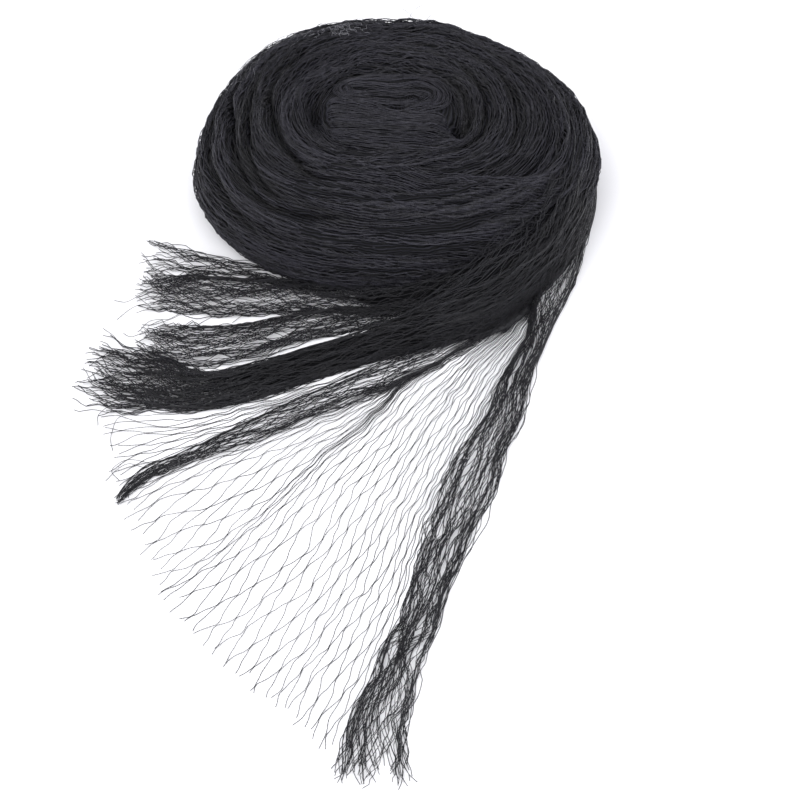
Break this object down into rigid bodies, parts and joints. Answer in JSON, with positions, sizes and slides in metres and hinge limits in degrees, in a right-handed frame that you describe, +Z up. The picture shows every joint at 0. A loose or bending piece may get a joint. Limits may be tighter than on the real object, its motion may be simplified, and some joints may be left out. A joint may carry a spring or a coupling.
{
  "type": "pond net",
  "caption": "Black knotless mesh pond net wound flat into an oval coil, its loose end spread out in front as gathered tails and an open fan.",
  "frame": {"origin": "on the floor under the middle of the coil, on its flat underside", "axes": "+X to the right across the coil, +Y from the spread loose end to the back of the coil, +Z up"},
  "size_m": [0.379, 0.6459, 0.0856],
  "materials": {
    "twine": "black knotless polyethylene twine, fine and slightly glossy"
  },
  "bodies": {
    "root": {"net": "twine"}
  },
  "joints": []
}
